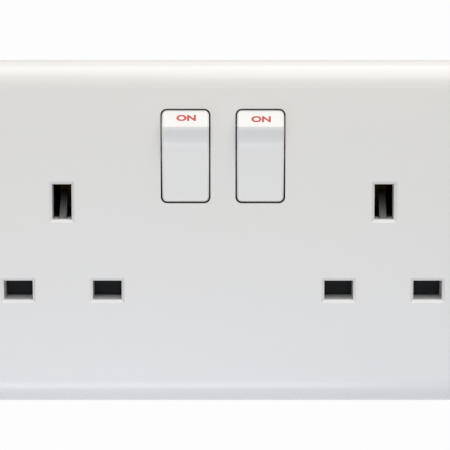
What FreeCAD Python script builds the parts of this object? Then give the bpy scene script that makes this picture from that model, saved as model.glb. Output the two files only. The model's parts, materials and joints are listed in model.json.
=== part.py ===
import FreeCAD, Part
import math
import os
import re
from collections import namedtuple

import Sketcher

# Twin switched socket outlet for square three-pin plugs, flush mounted on a wall box.
# Millimetres. X runs to the right, Y into the wall, Z up. The front faces -Y, the wall
# plane is Y = 0, and the origin is midway between the two fixing holes.
SIZES = {
    # Face plate
    "plate_width": 146.0,
    "plate_height": 86.0,
    "plate_depth": 9.5,
    "plate_edge": 6.5,
    "corner_ease": 1.5,
    "face_wall": 2.5,
    "rim_wall": 2.4,
    "fixing_inset": 12.7,
    "fixing_hole": 4.2,
    "fixing_sink": 7.6,
    "boss_radius": 4.5,
    # Pin slots
    "socket_pitch": 80.0,
    "pin_pitch": 22.2,
    "earth_height": 8.4,
    "line_slot_width": 7.2,
    "line_slot_height": 4.8,
    "earth_slot_width": 4.8,
    "earth_slot_height": 8.8,
    "slot_chamfer": 0.75,
    "shroud_wall": 1.0,
    "line_shroud_depth": 8.0,
    "earth_shroud_depth": 5.8,
    # Rockers: profile sizes are measured from the pivot with the rocker at mid throw
    "rocker_pitch": 18.5,
    "rocker_height": 19.85,
    "rocker_width": 11.6,
    "rocker_radius": 11.9,
    "rocker_gap": 0.36,
    "opening_gap": 0.16,
    "opening_lip": 0.8,
    "rocker_throw": 14.0,
    "rocker_wall": 1.4,
    "rocker_end_wall": 1.7,
    "crest_wall": 2.0,
    "rocker_face": 4.5,
    "rocker_back": 1.4,
    "rocker_corner": 1.2,
    "rocker_rim": 0.35,
    "crest_proud": 6.1,
    "crest_height": 8.05,
    "crest_round": 1.0,
    "hollow_height": 2.0,
    "hollow_round": 24.0,
    "band_foot": 2.4,
    "pivot_depth": 3.5,
    "trunnion_radius": 1.5,
    "trunnion_reach": 1.6,
    "trunnion_clearance": 0.08,
    "bearing_wall": 1.45,
    "bearing_height": 6.0,
    "bearing_grip": 1.1,
    # Rocker leg, its spring and plunger
    "leg_radius": 2.5,
    "leg_reach": 8.5,
    "leg_bore": 1.7,
    "bore_bottom": 2.5,
    "plunger_radius": 1.5,
    "plunger_reach": 13.2,
    "plunger_tail": 4.5,
    "plunger_flat": 0.7,
    "plunger_spring_radius": 1.2,
    "plunger_spring_wire": 0.4,
    "plunger_spring_turns": 4,
    "spring_end_gap": 0.15,
    "runs_per_turn": 8,
    # See-saw contacts
    "contact_span": 14.2,
    "contact_slope": 18.0,
    "contact_valley": 3.0,
    "contact_thickness": 1.0,
    "contact_width": 6.0,
    "contact_up": 10.0,
    "contact_down": 4.5,
    "contact_gain": 1.5,
    "plunger_gap": 0.16,
    "seat_gap": 0.1,
    "closed_gap": 0.05,
    "tip_height": 8.5,
    "tip_width": 4.0,
    "tip_foot": 1.5,
    "tip_crown": 1.0,
    "tip_flat": 0.75,
    "fixed_tip_height": 0.8,
    # Bars and pin clips
    "bar_thickness": 1.0,
    "strip_width": 3.6,
    "seat_top": 2.0,
    "left_run_height": 3.5,
    "right_run_height": -4.7,
    "neutral_run_height": -18.9,
    "live_bar_width": 5.2,
    "earth_bar_width": 7.0,
    "earth_pin_length": 22.7,
    "pin_thickness": 4.0,
    "pin_end_gap": 0.6,
    "clip_gap": 0.15,
    "leaf_thickness": 0.7,
    "leaf_width": 6.0,
    "leaf_flare": 1.2,
    "line_leaf_length": 7.0,
    "earth_leaf_length": 10.0,
    # Terminals
    "terminal_width": 7.0,
    "terminal_height": 8.0,
    "terminal_depth": 7.5,
    "terminal_bore": 2.3,
    "terminal_floor": 0.9,
    "terminal_screw_radius": 1.75,
    "terminal_screw_proud": 0.8,
    "earth_terminal_place": -27.0,
    "neutral_terminal_height": -20.5,
    # Shutters
    "shutter_thickness": 2.0,
    "shutter_gap": 0.2,
    "shutter_width": 30.4,
    "shutter_height": 8.6,
    "shutter_overlap": 1.0,
    "stem_width": 5.2,
    "ramp_width": 1.7,
    "ramp_toe_gap": 0.6,
    "ramp_toe_height": 3.5,
    "ramp_top_height": 10.4,
    "ramp_gusset": 1.1,
    "ramp_foot": 2.5,
    "guide_wall": 1.2,
    "guide_top": -0.5,
    "guide_length": 8.0,
    "shutter_spring_radius": 1.7,
    "shutter_spring_wire": 0.5,
    "shutter_spring_turns": 5,
    # Rear housing and its screws
    "housing_width": 115.0,
    "housing_top": 34.5,
    "housing_bottom": 32.5,
    "housing_depth": 24.0,
    "housing_wall": 1.8,
    "housing_corner": 3.0,
    "front_gap": 0.2,
    "bay_gap": 0.8,
    "fit_gap": 0.2,
    "flare_room": 1.7,
    "cavity_width": 7.8,
    "cavity_up": 12.85,
    "cavity_down": 12.15,
    "pillar_width": 6.0,
    "pillar_bore_depth": 7.0,
    "upper_pillar_pitch": 99.0,
    "upper_pillar_height": 28.0,
    "lower_pillar_pitch": 34.0,
    "lower_pillar_height": -27.1,
    "clamp_wall": 3.0,
    "screw_radius": 1.5,
    "screw_clearance": 0.1,
    "screw_reach": 6.0,
    "screw_head_radius": 2.9,
    "screw_head": 2.0,
}

Circle = namedtuple("Circle", "across up radius")
SIDES = {"left": "-1", "right": "1"}

# Levels along Y that several pieces share
FRONT = "(-plate_depth)"
INNER = "(face_wall - plate_depth)"
PIVOT = "(pivot_depth - plate_depth)"
SEESAW = f"({PIVOT} + contact_span)"
SWING = "(rocker_throw / 2 * contact_gain)"
APEX = (
    "(contact_span - plunger_reach + plunger_radius"
    " - (plunger_radius + plunger_gap) / cos(contact_slope))"
)
ARM_FRONT = f"(-{APEX} - contact_valley * tan(contact_slope))"
ARM_REAR = f"({ARM_FRONT} + contact_thickness)"
KNIFE = f"(contact_thickness / cos(contact_slope) - {APEX})"
BAR_FRONT = f"({SEESAW} + {KNIFE} + seat_gap)"
BAR_REAR = f"({BAR_FRONT} + bar_thickness)"
TIP_CLOSED = f"(({ARM_REAR} + tip_crown) * cos({SWING}) + (tip_height + tip_flat) * sin({SWING}))"
FIXED_TIP = f"({SEESAW} + {TIP_CLOSED} + closed_gap)"
LIVE_FRONT = f"({FIXED_TIP} + fixed_tip_height)"
LIVE_REAR = f"({LIVE_FRONT} + bar_thickness)"
EARTH_FRONT = "(earth_pin_length - plate_depth + pin_end_gap)"
EARTH_REAR = f"({EARTH_FRONT} + bar_thickness)"
SHROUD_END = "(line_shroud_depth - plate_depth)"
SHUTTER_FRONT = f"({SHROUD_END} + shutter_gap)"
SHUTTER_REAR = f"({SHUTTER_FRONT} + shutter_thickness)"
DECK = f"({SHUTTER_REAR} + shutter_gap)"
HOUSING_FRONT = f"({INNER} + front_gap)"
PILLAR_END = f"({DECK} - fit_gap)"
CLAMP_REAR = f"({DECK} + clamp_wall)"

# Places across and up the face
PLATE_CORNER = "(plate_edge + corner_ease)"
FIXING_REACH = "(plate_width / 2 - fixing_inset)"
LINE_HEIGHT = "(earth_height - pin_pitch)"
LIVE_HEIGHT = "(rocker_height + tip_height)"
LEAF_INSIDE = "(pin_thickness / 2 + clip_gap)"
LEAF_OUTSIDE = f"({LEAF_INSIDE} + leaf_thickness)"
ROCKER_HALF = "(rocker_width / 2 + rocker_gap)"
OPENING_HALF = "(sqrt(rocker_radius^2 - (pivot_depth - opening_lip)^2) + opening_gap)"
BLADE_TOP = f"({LINE_HEIGHT} + line_slot_height / 2 + shutter_overlap)"
BLADE_FOOT = f"({BLADE_TOP} - shutter_height)"
WELL_BOTTOM = "(housing_wall - housing_bottom)"

# Edges are picked out by their place to within this length
NEAR = 0.01

doc = FreeCAD.newDocument("twin_socket")
sheet = doc.addObject("Spreadsheet::Sheet", "Sizes")
for row, (alias, size) in enumerate(SIZES.items(), 1):
    sheet.set(f"A{row}", alias)
    sheet.set(f"B{row}", str(size))
    sheet.setAlias(f"B{row}", alias)
doc.recompute()


def ref(expression):
    """Look the names in a size expression up in the sheet."""
    names = "|".join(sorted(SIZES, key=len, reverse=True))
    return re.sub(rf"\b({names})\b", r"Sizes.\1", expression)


def value(expression):
    """Work a size expression out as a number."""
    return float(sheet.evalExpression(expression))


def new_body(label):
    """Start a sub-part."""
    body = doc.addObject("PartDesign::Body", label)
    body.Label = label
    body.AllowCompound = True
    return body


def pin(drawing, geometry, position, sizes):
    """Tie a point of a sketch to size expressions, measured from the sketch's origin."""
    for kind, size in sizes:
        number = drawing.addConstraint(Sketcher.Constraint(kind, -1, 1, geometry, position, value(size)))
        drawing.setExpression(f"Constraints[{number}]", ref(size))


def draw_circle(drawing, circle):
    """Draw a circle tied to its centre and radius."""
    centre = FreeCAD.Vector(value(circle.across), value(circle.up))
    number = drawing.addGeometry(Part.Circle(centre, FreeCAD.Vector(0, 0, 1), value(circle.radius)))
    pin(drawing, number, 3, [("DistanceX", circle.across), ("DistanceY", circle.up)])
    size = drawing.addConstraint(Sketcher.Constraint("Radius", number, value(circle.radius)))
    drawing.setExpression(f"Constraints[{size}]", ref(circle.radius))


def draw_loop(drawing, corners):
    """Draw a closed outline through its corners.

    A corner with a third size is reached by an arc whose centre lies at that height.
    """
    points = [FreeCAD.Vector(value(corner[0]), value(corner[1])) for corner in corners]
    ends = []
    for here, (start, end) in enumerate(zip(points[-1:] + points[:-1], points)):
        if len(corners[here]) == 2:
            number = drawing.addGeometry(Part.LineSegment(start, end))
            ends.append((number, 1, 2))
            continue
        height = value(corners[here][2])
        chord = end - start
        middle = (start + end) / 2
        along = middle.x + (middle.y - height) * chord.y / chord.x
        centre = FreeCAD.Vector(along, height)
        crown = centre + (middle - centre).normalize() * (start - centre).Length
        turns_left = (start - centre).cross(end - centre).z > 0
        arc = Part.Arc(start, crown, end) if turns_left else Part.Arc(end, crown, start)
        number = drawing.addGeometry(arc)
        ends.append((number, 1, 2) if turns_left else (number, 2, 1))
        pin(drawing, number, 3, [("DistanceY", corners[here][2])])
    for here, (number, _, end) in enumerate(ends):
        following, start, _ = ends[(here + 1) % len(ends)]
        drawing.addConstraint(Sketcher.Constraint("Coincident", number, end, following, start))
        pin(drawing, number, end, [("DistanceX", corners[here][0]), ("DistanceY", corners[here][1])])


def sketch(body, axis, level, loops):
    """Draw loops on a plane square to an axis, at a level along it."""
    roles = {"x": "YZ_Plane", "y": "XZ_Plane", "z": "XY_Plane"}
    drawing = body.newObject("Sketcher::SketchObject", "Sketch")
    plane = next(item for item in body.Origin.OriginFeatures if item.Role == roles[axis])
    drawing.AttachmentSupport = [(plane, "")]
    drawing.MapMode = "FlatFace"
    outward = "-1" if axis == "y" else "1"
    drawing.setExpression("AttachmentOffset.Base.z", ref(f"{outward} * ({level})"))
    for loop in loops:
        if isinstance(loop, Circle):
            draw_circle(drawing, loop)
        else:
            draw_loop(drawing, loop)
    return drawing


def add(body, axis, start, end, *loops):
    """Pad loops from one level along an axis to a higher one."""
    pad = body.newObject("PartDesign::Pad", "Pad")
    pad.Profile = sketch(body, axis, end if axis == "y" else start, loops)
    pad.setExpression("Length", ref(f"({end}) - ({start})"))
    body.Tip = pad


def cut(body, axis, start, end, *loops):
    """Pocket loops from one level along an axis to a higher one."""
    pocket = body.newObject("PartDesign::Pocket", "Pocket")
    pocket.Profile = sketch(body, axis, start if axis == "y" else end, loops)
    pocket.setExpression("Length", ref(f"({end}) - ({start})"))
    body.Tip = pocket


def revolve(body, loop):
    """Turn a profile, drawn as Y and a radius, about the Y axis."""
    turned = body.newObject("PartDesign::Revolution", "Revolution")
    drawing = sketch(body, "x", "0", [loop])
    turned.Profile = drawing
    turned.ReferenceAxis = (drawing, ["H_Axis"])
    turned.Angle = 360
    body.Tip = turned


def coil(label, radius, wire, length, turns):
    """Wind square wire into a spring up Z from a seat at the origin, in short straight runs."""
    half, size = value(f"{wire} / 2"), value(wire)
    start, rise = value(f"{wire} / 2 + spring_end_gap"), value(f"({length}) - {wire} - 2 * spring_end_gap")
    steps = int(value("runs_per_turn") * value(turns))
    points = []
    for step in range(steps + 1):
        angle = 2 * math.pi * step / value("runs_per_turn")
        across, level = value(radius) * math.cos(angle), value(radius) * math.sin(angle)
        points.append(FreeCAD.Vector(across, level, start + rise * step / steps))
    square = Part.makePlane(size, size, FreeCAD.Vector(-half, -half, 0)).OuterWire
    along = FreeCAD.Rotation(FreeCAD.Vector(0, 0, 1), points[1] - points[0])
    square.Placement = FreeCAD.Placement(points[0], along)
    spring = doc.addObject("Part::Feature", label)
    spring.Label = label
    spring.Shape = Part.makePolygon(points).makePipeShell([square], True, False, 1)
    return spring


def soften(body, kind, size, chosen):
    """Fillet or chamfer the edges of a sub-part that a test chooses."""
    doc.recompute()
    base = body.Tip
    names = [f"Edge{number}" for number, edge in enumerate(base.Shape.Edges, 1) if chosen(edge)]
    feature = body.newObject(f"PartDesign::{kind}", kind)
    feature.Base = (base, names)
    feature.setExpression("Radius" if kind == "Fillet" else "Size", ref(size))
    body.Tip = feature


def place(body, across, level, height, angle=None):
    """Put a sub-part's origin at a place, turned about X."""
    body.Placement = FreeCAD.Placement(FreeCAD.Vector(), FreeCAD.Rotation(FreeCAD.Vector(1, 0, 0), 1))
    for letter, size in zip("xyz", (across, level, height)):
        body.setExpression(f"Placement.Base.{letter}", ref(size))
    body.setExpression("Placement.Rotation.Angle", ref(angle or "0"))


def box(across, up, half_width, half_height):
    """Give the corners of a rectangle from its centre and half sizes."""
    left, right = f"{across} - ({half_width})", f"{across} + {half_width}"
    low, high = f"{up} - ({half_height})", f"{up} + {half_height}"
    return [(left, low), (right, low), (right, high), (left, high)]


def rounded(across, up, half_width, half_height, radius):
    """Give the outline of a rectangle with rounded corners from its centre and half sizes."""
    left, right = f"{across} - ({half_width})", f"{across} + {half_width}"
    low, high = f"{up} - ({half_height})", f"{up} + {half_height}"
    return [
        (f"{right} - ({radius})", low),
        (right, f"{low} + {radius}", f"{low} + {radius}"),
        (right, f"{high} - ({radius})"),
        (f"{right} - ({radius})", high, f"{high} - ({radius})"),
        (f"{left} + {radius}", high),
        (left, f"{high} - ({radius})", f"{high} - ({radius})"),
        (left, f"{low} + {radius}"),
        (f"{left} + {radius}", low, f"{low} + {radius}"),
    ]


def span(left, right, low, high):
    """Give the corners of a rectangle from its sides."""
    return [(left, low), (right, low), (right, high), (left, high)]


def sockets():
    """Give the place across of each socket's axis."""
    return [f"{sign} * socket_pitch / 2" for sign in SIDES.values()]


def rockers():
    """Give the place across of each rocker."""
    return [f"{sign} * rocker_pitch / 2" for sign in SIDES.values()]


def line_slots():
    """Give the place across of each live and neutral slot."""
    return [f"{axis} + {sign} * pin_pitch / 2" for axis in sockets() for sign in SIDES.values()]


def pillars():
    """Give the places of the four pillars that the assembly screws enter."""
    upper = [(f"{sign} * upper_pillar_pitch / 2", "upper_pillar_height") for sign in SIDES.values()]
    lower = [(f"{sign} * lower_pillar_pitch / 2", "lower_pillar_height") for sign in SIDES.values()]
    return upper + lower


def fixings():
    """Give the place across of each fixing hole."""
    return [f"{sign} * {FIXING_REACH}" for sign in SIDES.values()]


def face_plate():
    """Mould the front: a hollow plate with slots, shrouds, bearings, bosses and pillars."""
    body = new_body("face_plate")
    add(body, "y", FRONT, "0", rounded("0", "0", "plate_width / 2", "plate_height / 2", PLATE_CORNER))
    front = value(FRONT)
    soften(body, "Fillet", "plate_edge", lambda edge: edge.BoundBox.YMax < front + NEAR)
    inside = ("plate_width / 2 - rim_wall", "plate_height / 2 - rim_wall", f"{PLATE_CORNER} - rim_wall")
    cut(body, "y", INNER, "0", rounded("0", "0", *inside))
    inner = value(INNER)

    def edges_the_floor(edge):
        return abs(edge.CenterOfMass.y - inner) < NEAR

    soften(body, "Chamfer", "(plate_edge - rim_wall) / 2", edges_the_floor)
    bosses = [Circle(across, "0", "boss_radius") for across in fixings()]
    add(body, "y", INNER, "0", *bosses)
    posts = [box(across, height, "pillar_width / 2", "pillar_width / 2") for across, height in pillars()]
    add(body, "y", INNER, PILLAR_END, *posts)
    line_rim = ("line_slot_width / 2 + shroud_wall", "line_slot_height / 2 + shroud_wall")
    add(body, "y", INNER, SHROUD_END, *[box(across, LINE_HEIGHT, *line_rim) for across in line_slots()])
    earth_rim = ("earth_slot_width / 2 + shroud_wall", "earth_slot_height / 2 + shroud_wall")
    earth_end = "earth_shroud_depth - plate_depth"
    add(body, "y", INNER, earth_end, *[box(axis, "earth_height", *earth_rim) for axis in sockets()])
    guides = []
    for axis in sockets():
        for sign in SIDES.values():
            across = f"{axis} + {sign} * (stem_width / 2 + shutter_gap + guide_wall / 2)"
            guides.append(box(across, "guide_top - guide_length / 2", "guide_wall / 2", "guide_length / 2"))
    add(body, "y", INNER, SHUTTER_REAR, *guides)
    bearings = []
    for middle in rockers():
        for sign in SIDES.values():
            across = f"{middle} + {sign} * ({ROCKER_HALF} + bearing_wall / 2)"
            bearings.append(box(across, "rocker_height", "bearing_wall / 2", "bearing_height / 2"))
    add(body, "y", INNER, f"{PIVOT} + bearing_grip", *bearings)
    journal = Circle(PIVOT, "rocker_height", "trunnion_radius + trunnion_clearance")
    relief = "sqrt(rocker_radius^2 - (pivot_depth - face_wall)^2) + rocker_gap"
    for middle in rockers():
        bearing_half = f"({ROCKER_HALF} + bearing_wall)"
        cut(body, "x", f"{middle} - {bearing_half}", f"{middle} + {bearing_half}", journal)
        opening = rounded(middle, "rocker_height", ROCKER_HALF, OPENING_HALF, "rocker_corner + rocker_gap")
        cut(body, "y", FRONT, INNER, opening)
        cut(body, "y", "opening_lip - plate_depth", INNER, box(middle, "rocker_height", ROCKER_HALF, relief))
    line_half = ("line_slot_width / 2", "line_slot_height / 2")
    cut(body, "y", FRONT, SHROUD_END, *[box(across, LINE_HEIGHT, *line_half) for across in line_slots()])
    earth_half = ("earth_slot_width / 2", "earth_slot_height / 2")
    cut(body, "y", FRONT, earth_end, *[box(axis, "earth_height", *earth_half) for axis in sockets()])
    gates = []
    for axis in sockets():
        half = "ramp_width / 2 + shutter_gap"
        sill = "earth_height - earth_slot_height / 2"
        gates.append(span(f"{axis} - ({half})", f"{axis} + {half}", f"{sill} - 2 * shroud_wall", sill))
    cut(body, "y", INNER, earth_end, *gates)
    cut(body, "y", FRONT, "0", *[Circle(across, "0", "fixing_hole / 2") for across in fixings()])
    bore_start = f"{PILLAR_END} - pillar_bore_depth"
    bores = [Circle(across, height, "screw_radius + screw_clearance") for across, height in pillars()]
    cut(body, "y", bore_start, PILLAR_END, *bores)
    inner_reach, outer_reach = value("rocker_pitch"), value(f"{FIXING_REACH} - fixing_hole")

    def rims_a_slot(edge):
        on_face = edge.BoundBox.YMax < front + NEAR
        return on_face and inner_reach < abs(edge.CenterOfMass.x) < outer_reach

    def rims_a_hole(edge):
        on_face = edge.BoundBox.YMax < front + NEAR
        return on_face and edge.isClosed() and abs(edge.CenterOfMass.x) > outer_reach

    soften(body, "Chamfer", "slot_chamfer", rims_a_slot)
    soften(body, "Chamfer", "(fixing_sink - fixing_hole) / 2", rims_a_hole)


def rocker(side):
    """Mould a rocker: a crested paddle with drafted ends, trunnions and a hollow leg."""
    body = new_body(f"{side}_rocker")
    sign = SIDES[side]
    half = "rocker_width / 2"
    profile = [
        ("rocker_back", "-sqrt(rocker_radius^2 - rocker_back^2)"),
        ("rocker_back", "sqrt(rocker_radius^2 - rocker_back^2)"),
        ("-band_foot", "sqrt(rocker_radius^2 - band_foot^2)"),
        ("-crest_proud", "crest_height"),
        ("-rocker_face", "hollow_height"),
        ("-rocker_face", "-sqrt(rocker_radius^2 - rocker_face^2)"),
    ]
    add(body, "x", f"-{half}", half, profile)

    def runs_along(edge, up):
        middle = edge.CenterOfMass
        return edge.BoundBox.XLength > edge.Length / 2 and abs(middle.z - value(up)) < NEAR and middle.y < 0

    soften(body, "Fillet", "hollow_round", lambda edge: runs_along(edge, "hollow_height"))
    soften(body, "Fillet", "crest_round", lambda edge: runs_along(edge, "crest_height"))
    inside_end = value("rocker_radius - rocker_end_wall")

    def stands_at_an_end(edge):
        return edge.BoundBox.XLength < NEAR and abs(edge.CenterOfMass.z) > inside_end

    soften(body, "Fillet", "rocker_corner", stands_at_an_end)

    def ends_the_face(edge):
        middle = edge.CenterOfMass
        lengthwise = edge.BoundBox.XLength > edge.Length / 2
        return lengthwise and middle.z < -inside_end and middle.y < 0

    soften(body, "Chamfer", "rocker_rim", ends_the_face)
    inside = [
        ("rocker_back", "2 * rocker_wall - rocker_radius"),
        ("rocker_back", "rocker_radius - rocker_end_wall"),
        ("0", "rocker_radius - rocker_end_wall"),
        ("rocker_wall - band_foot", "rocker_radius - 2 * rocker_wall"),
        ("crest_wall - crest_proud", "crest_height - rocker_wall / 2"),
        ("rocker_wall - rocker_face", "hollow_height"),
        ("rocker_wall - rocker_face", "2 * rocker_wall - rocker_radius"),
    ]
    cut(body, "x", f"rocker_wall - {half}", f"{half} - rocker_wall", inside)
    add(body, "y", "rocker_wall / 2 - rocker_face", "leg_reach", Circle("0", "0", "leg_radius"))
    cut(body, "y", "-bore_bottom", "leg_reach", Circle("0", "0", "leg_bore"))
    trunnion = Circle("0", "0", "trunnion_radius")
    add(body, "x", f"{half} - rocker_wall", f"{half} + trunnion_reach", trunnion)
    add(body, "x", f"-{half} - trunnion_reach", f"rocker_wall - {half}", trunnion)
    place(body, f"{sign} * rocker_pitch / 2", PIVOT, "rocker_height", "rocker_throw / 2")


def plunger(side):
    """Turn the blunt-nosed plunger that slides in a rocker's leg."""
    body = new_body(f"{side}_plunger")
    nose = "plunger_reach - plunger_radius + sqrt(plunger_radius^2 - plunger_flat^2)"
    profile = [
        ("plunger_tail", "0"),
        (nose, "0"),
        (nose, "plunger_flat"),
        ("plunger_reach - plunger_radius", "plunger_radius"),
        ("plunger_tail", "plunger_radius"),
    ]
    revolve(body, profile)
    place(body, f"{SIDES[side]} * rocker_pitch / 2", PIVOT, "rocker_height", "rocker_throw / 2")


def plunger_spring(side):
    """Wind the spring between a leg's bore and its plunger."""
    length = "plunger_tail + bore_bottom"
    name = f"{side}_plunger_spring"
    spring = coil(name, "plunger_spring_radius", "plunger_spring_wire", length, "plunger_spring_turns")
    place(
        spring,
        f"{SIDES[side]} * rocker_pitch / 2",
        f"{PIVOT} - bore_bottom * cos(rocker_throw / 2)",
        "rocker_height - bore_bottom * sin(rocker_throw / 2)",
        "rocker_throw / 2 - 90",
    )


def moving_contact(side):
    """Fold the see-saw contact, a shallow V whose knife edge rocks on the live seat."""
    body = new_body(f"{side}_moving_contact")
    profile = [
        (ARM_FRONT, "-contact_down"),
        (ARM_FRONT, "-contact_valley"),
        (f"-{APEX}", "0"),
        (ARM_FRONT, "contact_valley"),
        (ARM_FRONT, "contact_up"),
        (ARM_REAR, "contact_up"),
        (ARM_REAR, f"({KNIFE} - {ARM_REAR}) / tan(contact_slope)"),
        (KNIFE, "0"),
        (ARM_REAR, f"({ARM_REAR} - {KNIFE}) / tan(contact_slope)"),
        (ARM_REAR, "-contact_down"),
    ]
    add(body, "x", "-contact_width / 2", "contact_width / 2", profile)
    place(body, f"{SIDES[side]} * rocker_pitch / 2", SEESAW, "rocker_height", f"-{SWING}")


def moving_tip(side):
    """Roll the crowned silver tip on the see-saw's upper arm."""
    body = new_body(f"{side}_moving_tip")
    crown = [("0", "-tip_foot"), ("tip_crown", "-tip_flat"), ("tip_crown", "tip_flat"), ("0", "tip_foot")]
    add(body, "x", "-tip_width / 2", "tip_width / 2", crown)
    place(
        body,
        f"{SIDES[side]} * rocker_pitch / 2",
        f"{SEESAW} + {ARM_REAR} * cos({SWING}) + tip_height * sin({SWING})",
        f"rocker_height - {ARM_REAR} * sin({SWING}) + tip_height * cos({SWING})",
        f"-{SWING}",
    )


def fixed_tips():
    """Make the pair of flat tips on the live bar."""
    body = new_body("fixed_tips")
    pads = [box(middle, LIVE_HEIGHT, "tip_width / 2", "tip_foot") for middle in rockers()]
    add(body, "y", FIXED_TIP, LIVE_FRONT, *pads)


def live_bar_outline(room):
    """Give the outline of the bar that feeds both switches."""
    reach = f"rocker_pitch / 2 + contact_width / 2 + {room}"
    return box("0", LIVE_HEIGHT, reach, f"live_bar_width / 2 + {room}")


def live_outline(side, room):
    """Give the outline of the strip from a switch's seat to a socket's live clip."""
    sign = SIDES[side]
    near = f"{sign} * (rocker_pitch / 2 - contact_width / 2 - {room})"
    far = f"{sign} * (rocker_pitch / 2 + contact_width / 2 + {room})"
    clip = f"({sign} * socket_pitch / 2 + pin_pitch / 2)"
    clip_near = f"{clip} - {sign} * (leaf_width / 2 + {room})"
    clip_far = f"{clip} + {sign} * (leaf_width / 2 + {room})"
    top = f"rocker_height + seat_top + {room}"
    run = f"{side}_run_height + {room}"
    run_low = f"{side}_run_height - strip_width - {room}"
    low = f"{LINE_HEIGHT} - {LEAF_OUTSIDE} - {room}"
    return [
        (near, top),
        (far, top),
        (far, run),
        (clip_far, run),
        (clip_far, low),
        (clip_near, low),
        (clip_near, run_low),
        (near, run_low),
    ]


def neutral_outline(room):
    """Give the outline of the strip that joins both neutral clips."""
    half = f"(leaf_width / 2 + {room})"
    first, second = [f"({axis} - pin_pitch / 2)" for axis in sockets()]
    high = f"{LINE_HEIGHT} + {LEAF_OUTSIDE} + {room}"
    run = f"neutral_run_height + {room}"
    low = f"neutral_run_height - strip_width - {room}"
    return [
        (f"{first} - {half}", low),
        (f"{second} + {half}", low),
        (f"{second} + {half}", high),
        (f"{second} - {half}", high),
        (f"{second} - {half}", run),
        (f"{first} + {half}", run),
        (f"{first} + {half}", high),
        (f"{first} - {half}", high),
    ]


def leaf(inside, outside, flared, root, length):
    """Give the section of a clip's leaf, flared at its mouth, as level and offset."""
    mouth = f"{root} - {length}"
    bend = f"{mouth} + leaf_flare"
    lip = f"{flared} + {outside} - ({inside})"
    return [(root, inside), (bend, inside), (mouth, flared), (mouth, lip), (bend, outside), (root, outside)]


def line_clip(body, across):
    """Fold the two leaves that grip a live or neutral pin above and below."""
    for sign in SIDES.values():
        inside = f"{LINE_HEIGHT} + {sign} * {LEAF_INSIDE}"
        outside = f"{LINE_HEIGHT} + {sign} * {LEAF_OUTSIDE}"
        section = leaf(inside, outside, f"{inside} + {sign} * leaf_thickness", BAR_FRONT, "line_leaf_length")
        add(body, "x", f"{across} - leaf_width / 2", f"{across} + leaf_width / 2", section)


def live_bar():
    """Cut the bar that joins the live terminal to both fixed tips."""
    body = new_body("live_bar")
    add(body, "y", LIVE_FRONT, LIVE_REAR, live_bar_outline("0"))


def live_contact(side):
    """Fold a switched live strip with its clip."""
    body = new_body(f"{side}_live_contact")
    add(body, "y", BAR_FRONT, BAR_REAR, live_outline(side, "0"))
    line_clip(body, f"({SIDES[side]} * socket_pitch / 2 + pin_pitch / 2)")


def neutral_bar():
    """Fold the neutral strip with a clip for each socket."""
    body = new_body("neutral_bar")
    add(body, "y", BAR_FRONT, BAR_REAR, neutral_outline("0"))
    for axis in sockets():
        line_clip(body, f"({axis} - pin_pitch / 2)")


def earth_bar():
    """Fold the earth bar with a clip for each socket."""
    body = new_body("earth_bar")
    reach = f"socket_pitch / 2 + {LEAF_OUTSIDE}"
    add(body, "y", EARTH_FRONT, EARTH_REAR, box("0", "earth_height", reach, "earth_bar_width / 2"))
    for axis in sockets():
        for sign in SIDES.values():
            inside = f"{axis} + {sign} * {LEAF_INSIDE}"
            outside = f"{axis} + {sign} * {LEAF_OUTSIDE}"
            flared = f"{inside} + {sign} * leaf_thickness"
            section = leaf(inside, outside, flared, EARTH_FRONT, "earth_leaf_length")
            turned = [(offset, level) for level, offset in section]
            low = "earth_height - leaf_width / 2"
            add(body, "z", low, f"{low} + leaf_width", turned)


# Each terminal's place across and up, and the level of the bar that it sits on
TERMINALS = {
    "live": ("0", LIVE_HEIGHT, LIVE_REAR),
    "neutral": ("0", "neutral_terminal_height", BAR_REAR),
    "earth": ("earth_terminal_place", "earth_height", EARTH_REAR),
}


def terminal(name):
    """Cut a brass terminal block with a cable bore and a tapped hole for its screw."""
    across, height, seat = TERMINALS[name]
    body = new_body(f"{name}_terminal")
    rear = f"{seat} + terminal_depth"
    add(body, "y", seat, rear, box(across, height, "terminal_width / 2", "terminal_height / 2"))
    axis = f"{seat} + terminal_floor + terminal_bore"
    low = f"{height} - terminal_height / 2"
    cut(body, "z", low, f"{low} + terminal_height", Circle(across, axis, "terminal_bore"))
    cut(body, "y", axis, rear, Circle(across, height, "terminal_screw_radius + screw_clearance / 2"))


def terminal_screw(name):
    """Turn a terminal's clamp screw, wound back clear of the cable bore."""
    across, height, seat = TERMINALS[name]
    body = new_body(f"{name}_terminal_screw")
    rear = f"{seat} + terminal_depth"
    ceiling = f"{seat} + terminal_floor + 2 * terminal_bore"
    add(body, "y", ceiling, f"{rear} + terminal_screw_proud", Circle(across, height, "terminal_screw_radius"))


def shutter(side):
    """Mould a shutter: a blade over both line slots and a ramp that the earth pin pushes down."""
    axis = f"{SIDES[side]} * socket_pitch / 2"
    body = new_body(f"{side}_shutter")
    ends = (f"{axis} - shutter_width / 2", f"{axis} + shutter_width / 2")
    add(body, "y", SHUTTER_FRONT, SHUTTER_REAR, span(*ends, BLADE_FOOT, BLADE_TOP))
    stem = span(f"{axis} - stem_width / 2", f"{axis} + stem_width / 2", BLADE_TOP, "ramp_toe_height")
    add(body, "y", SHUTTER_FRONT, SHUTTER_REAR, stem)
    toe = f"{INNER} + ramp_toe_gap"
    ramp = [
        (toe, "ramp_toe_height"),
        (SHUTTER_REAR, "ramp_top_height"),
        (SHUTTER_REAR, "-ramp_foot"),
        (SHUTTER_FRONT, "-ramp_foot"),
        (toe, "ramp_toe_height - ramp_gusset"),
    ]
    add(body, "x", f"{axis} - ramp_width / 2", f"{axis} + ramp_width / 2", ramp)


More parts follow.
